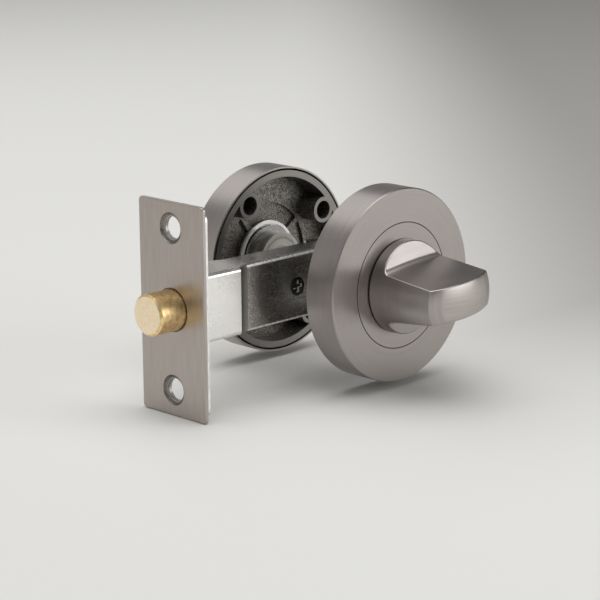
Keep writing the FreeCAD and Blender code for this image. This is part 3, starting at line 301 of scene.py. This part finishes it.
# Bolt tail, follower, spindle and springs
# A blanked steel stamping, pinned in the bolt and moved by the arm of a cast hub
# that the square spindle turns. The springs and circlips are of spring steel.
tail_steel, tail_shader = new_finish("tail_steel", (0.43, 0.42, 0.40, 1), 1.0, 0.38)
tail_roll = streaks(tail_steel, (90, 1500, 1500), 4)
vary(tail_steel, tail_roll, tail_shader, "Roughness", 0.30, 0.46)
emboss(tail_steel, tail_roll, tail_shader, 0.15, 0.00003)
for name in ("bolt_tail", "tail_pin", "spindle"):
    dress(name, tail_steel)
dress("follower", zinc_cast)
spring_steel, spring_shader = new_finish("spring_steel", (0.36, 0.355, 0.35, 1), 1.0, 0.26)
spring_roll = streaks(spring_steel, (1200, 1200, 1200), 4)
vary(spring_steel, spring_roll, spring_shader, "Roughness", 0.20, 0.34)
for name in ("friction_spring", "spindle_pin", "front_circlip", "rear_circlip",
             "front_spring_washer", "rear_spring_washer"):
    dress(name, spring_steel)

# Rose caps and the bosses that fill them
# Turned on a lathe and plated satin nickel. Fine rings run round the spindle on the
# faces and round the sides, and a thin ring of painted shade marks the seam of the boss.
rose_face_y = {"front": -0.02385, "rear": 0.0314}
rose_back_y = {"front": -0.01435, "rear": 0.0219}
seam_half = 0.00005
seam_edges = (0.00008, 0.00020)


def from_spindle(finish):
    """The place on the piece seen from the spindle, and its distance from it."""
    place = add_node(finish, "ShaderNodeTexCoord")
    centre = add_node(finish, "ShaderNodeVectorMath", operation="SUBTRACT")
    centre.inputs[1].default_value = (spindle_x, 0, 0)
    flat = add_node(finish, "ShaderNodeVectorMath", operation="MULTIPLY")
    flat.inputs[1].default_value = (1, 0, 1)
    reach = add_node(finish, "ShaderNodeVectorMath", operation="LENGTH")
    link(finish, place.outputs["Object"], centre.inputs[0])
    link(finish, centre.outputs["Vector"], flat.inputs[0])
    link(finish, flat.outputs["Vector"], reach.inputs[0])
    return centre, reach


def turned_noise(finish, rings, along, cloud):
    """Noise that hardly changes round the spindle, so it draws turning marks."""
    centre, reach = from_spindle(finish)
    split = add_node(finish, "ShaderNodeSeparateXYZ")
    join = add_node(finish, "ShaderNodeCombineXYZ")
    stretch = add_node(finish, "ShaderNodeVectorMath", operation="MULTIPLY")
    stretch.inputs[1].default_value = (rings, along, cloud)
    noise = add_node(finish, "ShaderNodeTexNoise", Scale=1.0, Detail=4.0, Roughness=0.6)
    link(finish, centre.outputs["Vector"], split.inputs["Vector"])
    link(finish, reach.outputs["Value"], join.inputs["X"])
    link(finish, split.outputs["Y"], join.inputs["Y"])
    link(finish, split.outputs["Z"], join.inputs["Z"])
    link(finish, join.outputs["Vector"], stretch.inputs[0])
    link(finish, stretch.outputs["Vector"], noise.inputs["Vector"])
    return noise


rose_nickel, rose_shader = new_finish("rose_nickel", nickel_color, 1.0, 0.40)
rose_rings = turned_noise(rose_nickel, 4200, 2600, 90)
vary(rose_nickel, rose_rings, rose_shader, "Roughness", 0.28, 0.38)
tint(rose_nickel, rose_rings, rose_shader, (0.370, 0.338, 0.323, 1), (0.425, 0.390, 0.373, 1))
# Painted shade: the nickel is darkened in a thin ring round the seam of the boss, wider than the real
# gap.
seam_reach = max(math.hypot(corner.co.x - spindle_x, corner.co.z)
                 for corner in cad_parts["front_rose_base"].data.vertices
                 if abs(corner.co.y - rose_face_y["front"]) < 0.00002)
seam_off = add_node(rose_nickel, "ShaderNodeMath", operation="SUBTRACT")
seam_off.inputs[1].default_value = seam_reach + seam_half
seam_width = add_node(rose_nickel, "ShaderNodeMath", operation="ABSOLUTE")
seam_shade = add_node(rose_nickel, "ShaderNodeMapRange")
seam_shade.inputs["From Min"].default_value = seam_edges[0]
seam_shade.inputs["From Max"].default_value = seam_edges[1]
seam_shade.inputs["To Min"].default_value = 0.25
seam_tone = add_node(rose_nickel, "ShaderNodeVectorMath", operation="MULTIPLY")
rose_tone = rose_shader.inputs["Base Color"].links[0].from_socket
link(rose_nickel, from_spindle(rose_nickel)[1].outputs["Value"], seam_off.inputs[0])
link(rose_nickel, seam_off.outputs["Value"], seam_width.inputs[0])
link(rose_nickel, seam_width.outputs["Value"], seam_shade.inputs["Value"])
link(rose_nickel, rose_tone, seam_tone.inputs[0])
link(rose_nickel, seam_shade.outputs["Result"], seam_tone.inputs[1])
link(rose_nickel, seam_tone.outputs["Vector"], rose_shader.inputs["Base Color"])
emboss(rose_nickel, rose_rings, rose_shader, 0.10, 0.00002)
dress("front_rose_cap", rose_nickel)
dress("rear_rose_cap", rose_nickel)

# Rose bases
# Zinc castings: the boss that shows in the cap is plated with it, the hidden side
# keeps its dark, slightly sparkling cast skin, with a machined rim and post ends.
boss_wall = 0.0003
boss_step = 0.0012
cap_hole_wall = 0.0006
base_cast, base_shader = new_finish("base_cast", (0.20, 0.19, 0.18, 1), 1.0, 0.42)
base_skin = streaks(base_cast, (2600, 2600, 2600), 4)
tint(base_cast, base_skin, base_shader, (0.055, 0.051, 0.047, 1), (0.43, 0.405, 0.372, 1), 0.38, 0.66)
vary(base_cast, base_skin, base_shader, "Roughness", 0.34, 0.60)
emboss(base_cast, base_skin, base_shader, 0.5, 0.00008)
rim_zinc, rim_shader = new_finish("rim_zinc", (0.27, 0.256, 0.243, 1), 1.0, 0.36)
rim_mill = streaks(rim_zinc, (1800, 1800, 1800), 3)
vary(rim_zinc, rim_mill, rim_shader, "Roughness", 0.30, 0.42)


def face_of(node, level):
    """The faces of a node that lie on a plane square to the spindle."""
    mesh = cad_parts[node].data
    chosen = []
    for face in mesh.polygons:
        if abs(face.normal.y) > 0.99 and abs(face.center.y - level) < 0.00005:
            chosen.append(face.index)
    return chosen


# Painted shade in the gap of the seam: the side wall of the boss and the wall of the cap's hole are
# coloured near black.
seam_painted_shade, seam_shade_shader = new_finish("seam_painted_shade", (0.035, 0.032, 0.03, 1), 0.0, 0.85)
seam_shade_mottle = streaks(seam_painted_shade, (1500, 1500, 1500), 3)
tint(seam_painted_shade, seam_shade_mottle, seam_shade_shader, (0.02, 0.018, 0.016, 1), (0.07, 0.065, 0.06, 1))


def reach_of(face):
    """How far the middle of a face is from the spindle."""
    return math.hypot(face.center.x - spindle_x, face.center.z)


for side in ("front", "rear"):
    base = side + "_rose_base"
    front = rose_face_y[side]
    dress(base, base_cast)
    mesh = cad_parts[base].data
    mesh.materials.append(rose_nickel)
    mesh.materials.append(rim_zinc)
    mesh.materials.append(seam_painted_shade)
    for index in face_of(base, front):
        mesh.polygons[index].material_index = 1
    for index in face_of(base, rose_back_y[side]):
        mesh.polygons[index].material_index = 2
    boss = max(reach_of(mesh.polygons[index]) for index in face_of(base, front))
    # The side wall of the boss by the seam takes the painted shade.
    for face in mesh.polygons:
        by_boss = abs(reach_of(face) - boss) < boss_wall and abs(face.center.y - front) < boss_step
        if by_boss and abs(face.normal.y) < 0.3:
            face.material_index = 3
    cap_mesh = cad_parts[side + "_rose_cap"].data
    cap_mesh.materials.append(seam_painted_shade)
    # The wall of the cap's hole takes the painted shade.
    for face in cap_mesh.polygons:
        if abs(face.normal.y) < 0.3 and reach_of(face) < boss + cap_hole_wall:
            face.material_index = 1

# Hub cups
# Pressed from bright plated steel, with a rolled lip round each shank. The inside
# of a cup is coloured dark, painted shade in the hollow.
cup_plate, cup_shader = new_finish("cup_plate", (0.90, 0.89, 0.86, 1), 0.50, 0.16)
cup_wear = streaks(cup_plate, (700, 700, 700), 4)
cup_stain = streaks(cup_plate, (260, 260, 260), 3)
tint(cup_plate, cup_stain, cup_shader, (0.74, 0.73, 0.70, 1), (1.0, 0.99, 0.96, 1), 0.34, 0.52)
vary(cup_plate, cup_wear, cup_shader, "Roughness", 0.10, 0.18)
emboss(cup_plate, cup_wear, cup_shader, 0.10, 0.00004)
cup_painted_shade, hollow_shade_shader = new_finish("cup_painted_shade", (0.40, 0.39, 0.365, 1), 1.0, 0.24)
hollow_shade_mottle = streaks(cup_painted_shade, (420, 420, 420), 4)
tint(cup_painted_shade, hollow_shade_mottle, hollow_shade_shader, (0.05, 0.048, 0.044, 1), (0.42, 0.41, 0.385, 1), 0.42, 0.62)
vary(cup_painted_shade, hollow_shade_mottle, hollow_shade_shader, "Roughness", 0.16, 0.34)
for name in ("front_hub_cup", "rear_hub_cup"):
    dress(name, cup_plate)
    cup_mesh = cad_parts[name].data
    cup_mesh.materials.append(cup_painted_shade)
    for face in cup_mesh.polygons:
        # Faces turned in towards the shank take the painted shade.
        inward = (face.center.x - spindle_x) * face.normal.x + face.center.z * face.normal.z
        if inward < -0.2 * reach_of(face):
            face.material_index = 1

# Thumb turn
# Turned from bar, the scoops of the grip milled, then rubbed with a fine belt and
# plated like the roses. The end keeps the slanting lines of the last rub.
grip_end_y = -0.0440
turn_nickel, turn_shader = new_finish("turn_nickel", (0.42, 0.387, 0.371, 1), 1.0, 0.30)
turn_rub = turned_noise(turn_nickel, 60, 3400, 60)
turn_cloud = streaks(turn_nickel, (180, 180, 180), 3)
tint(turn_nickel, turn_rub, turn_shader, (0.390, 0.358, 0.342, 1), (0.450, 0.416, 0.400, 1))
vary(turn_nickel, turn_cloud, turn_shader, "Roughness", 0.28, 0.33)
end_nickel, end_shader = new_finish("end_nickel", (0.47, 0.435, 0.413, 1), 1.0, 0.32)
end_rub = streaks(end_nickel, (60, 60, 2200), 2)
for node in end_nickel.node_tree.nodes:
    if node.bl_idname == "ShaderNodeMapping":
        node.inputs["Rotation"].default_value = (0, math.radians(38), 0)
tint(end_nickel, end_rub, end_shader, (0.435, 0.399, 0.379, 1), (0.510, 0.470, 0.447, 1))
vary(end_nickel, end_rub, end_shader, "Roughness", 0.30, 0.35)

# A sliver at the pole of the dome spoils the shading there, so the copy is merged.
bpy.ops.object.select_all(action="DESELECT")
grip = bpy.data.objects.new("turn_grip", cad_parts["thumb_turn"].data.copy())
bpy.context.scene.collection.objects.link(grip)
grip.select_set(True)
bpy.context.view_layer.objects.active = grip
bpy.ops.object.mode_set(mode="EDIT")
bpy.ops.mesh.select_all(action="SELECT")
bpy.ops.mesh.remove_doubles(threshold=0.00001)
bpy.ops.mesh.customdata_custom_splitnormals_clear()
bpy.ops.object.mode_set(mode="OBJECT")
bpy.ops.object.shade_smooth_by_angle(angle=math.radians(30))
weigh = grip.modifiers.new("even_normals", "WEIGHTED_NORMAL")
weigh.keep_sharp = True
bpy.ops.object.modifier_apply(modifier=weigh.name)
grip.data.materials.clear()
grip.data.materials.append(turn_nickel)
grip.data.materials.append(end_nickel)
for face in grip.data.polygons:
    if face.normal.y < -0.93 and face.center.y < grip_end_y:
        face.material_index = 1
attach(grip, "turn")
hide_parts("thumb_turn")
dress("thumb_turn", turn_nickel)

# Release turn
# Turned like the thumb turn, with a coin slot outside. The shank inside the cup is
# left as turned, without the satin rub.
shank_end_y = 0.0283
dress("release_turn", turn_nickel)
shank_zinc, shank_shader = new_finish("shank_zinc", (0.40, 0.385, 0.36, 1), 0.85, 0.30)
shank_rings = turned_noise(shank_zinc, 900, 900, 200)
tint(shank_zinc, shank_rings, shank_shader, (0.25, 0.238, 0.223, 1), (0.50, 0.48, 0.452, 1), 0.36, 0.64)
vary(shank_zinc, shank_rings, shank_shader, "Roughness", 0.24, 0.40)
release_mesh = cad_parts["release_turn"].data
release_mesh.materials.append(shank_zinc)
for face in release_mesh.polygons:
    if face.center.y < shank_end_y:
        face.material_index = 1

# Floor
# A pale matt table under the lowest corner of the faceplate. Its colour greys
# towards the far right and the back, painted shade for light that falls off there.
floor_z = -0.0281
floor_pale = (0.79, 0.785, 0.765, 1)
floor_painted_shade = (0.36, 0.35, 0.33, 1)
bpy.ops.object.select_all(action="DESELECT")
bpy.ops.mesh.primitive_plane_add(size=30.0, location=(0, 0, floor_z))
bpy.ops.object.transform_apply(location=True)
floor = bpy.context.object
floor.name = "floor"
floor_matt, floor_shader = new_finish("floor_matt", (0.78, 0.77, 0.75, 1), 0.0, 0.9)
floor_place = add_node(floor_matt, "ShaderNodeTexCoord")
# Painted shade: the colour moves from pale to grey towards the far right and the back.
floor_across = add_node(floor_matt, "ShaderNodeVectorMath", operation="DOT_PRODUCT")
floor_across.inputs[1].default_value = (0.71, -0.70, 0)
floor_shift = add_node(floor_matt, "ShaderNodeMapRange")
floor_shift.inputs["From Min"].default_value = 0.02
floor_shift.inputs["From Max"].default_value = 0.165
floor_tone = add_node(floor_matt, "ShaderNodeValToRGB")
floor_tone.color_ramp.interpolation = "EASE"
floor_tone.color_ramp.elements[0].color = floor_pale
floor_tone.color_ramp.elements[1].color = floor_painted_shade
floor_split = add_node(floor_matt, "ShaderNodeSeparateXYZ")
floor_back = add_node(floor_matt, "ShaderNodeMapRange")
floor_back.inputs["From Min"].default_value = -0.12
floor_back.inputs["From Max"].default_value = 0.0
floor_mix = add_node(floor_matt, "ShaderNodeMath", operation="MULTIPLY")
link(floor_matt, floor_place.outputs["Object"], floor_across.inputs[0])
link(floor_matt, floor_across.outputs["Value"], floor_shift.inputs["Value"])
link(floor_matt, floor_place.outputs["Object"], floor_split.inputs["Vector"])
link(floor_matt, floor_split.outputs["Y"], floor_back.inputs["Value"])
link(floor_matt, floor_shift.outputs["Result"], floor_mix.inputs[0])
link(floor_matt, floor_back.outputs["Result"], floor_mix.inputs[1])
link(floor_matt, floor_mix.outputs["Value"], floor_tone.inputs["Fac"])
link(floor_matt, floor_tone.outputs["Color"], floor_shader.inputs["Base Color"])
floor.data.materials.append(floor_matt)

# Room
# The plain light of the room: pale low down behind and to the left, darker
# overhead and to the right.
room = bpy.data.worlds.new("room")
bpy.context.scene.world = room
room.use_nodes = True
room_sky = room.node_tree.nodes["Background"]
room_sky.inputs["Color"].default_value = (1.0, 0.99, 0.97, 1)
room_look = add_node(room, "ShaderNodeTexCoord")
room_dark = add_node(room, "ShaderNodeVectorMath", operation="DOT_PRODUCT")
room_dark.inputs[1].default_value = (0.42, -0.30, 0.86)
room_fall = add_node(room, "ShaderNodeMapRange")
room_fall.inputs["From Min"].default_value = -0.35
room_fall.inputs["From Max"].default_value = 0.60
room_fall.inputs["To Min"].default_value = 0.58
room_fall.inputs["To Max"].default_value = 0.08
link(room, room_look.outputs["Generated"], room_dark.inputs[0])
link(room, room_dark.outputs["Value"], room_fall.inputs["Value"])
link(room, room_fall.outputs["Result"], room_sky.inputs["Strength"])


# Lamps
# A low box at the front right, a soft one behind and a large one overhead. The
# low one is gridded, so that it spares the floor under it.
lamps_aim_x = 0.03


def soft_box(name, bearing, height, distance, width, tall, glow, fan):
    """A lamp seen from the lock at a bearing from straight ahead and a height, in degrees."""
    lamp = bpy.data.lights.new(name, "AREA")
    lamp.shape = "RECTANGLE"
    lamp.size = width
    lamp.size_y = tall
    lamp.energy = glow * math.pi * width * tall
    lamp.spread = math.radians(fan)
    holder = bpy.data.objects.new(name, lamp)
    bpy.context.scene.collection.objects.link(holder)
    turn = math.radians(bearing)
    rise = math.radians(height)
    away = Vector((math.sin(turn) * math.cos(rise), -math.cos(turn) * math.cos(rise), math.sin(rise)))
    holder.location = away * distance + Vector((lamps_aim_x, 0, 0))
    holder.rotation_euler = away.to_track_quat("Z", "Y").to_euler()


soft_box("front_box", 33, 13, 0.80, 0.76, 0.47, 0.66, 100)
soft_box("back_box", 166, 46, 0.90, 0.66, 0.56, 0.9, 180)
soft_box("top_box", 0, 86, 1.70, 2.10, 2.10, 2.1, 180)

# Camera
# A long lens at the photograph's own view, from the front left and a little above.
# It was fitted to the rims of the roses and the corners of the faceplate.
camera_distance = 0.59717
camera_to_left = 0.01013
camera_down = 0.007809
camera = bpy.data.cameras.new("camera")
camera.sensor_width = 36.0
camera.lens = 131.358
camera.clip_start = 0.01
camera.clip_end = 20.0
viewer = bpy.data.objects.new("camera", camera)
bpy.context.scene.collection.objects.link(viewer)
bearing = math.radians(-44.62609)
height = math.radians(13.74647)
roll = math.radians(-0.41464)
back = Vector((math.sin(bearing) * math.cos(height),
               -math.cos(bearing) * math.cos(height),
               math.sin(height)))
level_right = Vector((0, 0, 1)).cross(back).normalized()
level_up = back.cross(level_right)
right = level_right * math.cos(roll) + level_up * math.sin(roll)
up = level_up * math.cos(roll) - level_right * math.sin(roll)
eye = Vector((spindle_x, 0, 0)) + back * camera_distance - right * camera_to_left - up * camera_down
viewer.matrix_world = Matrix((
    (right.x, up.x, back.x, eye.x),
    (right.y, up.y, back.y, eye.y),
    (right.z, up.z, back.z, eye.z),
    (0, 0, 0, 1)))
bpy.context.scene.camera = viewer
bpy.context.scene.view_settings.view_transform = "Standard"
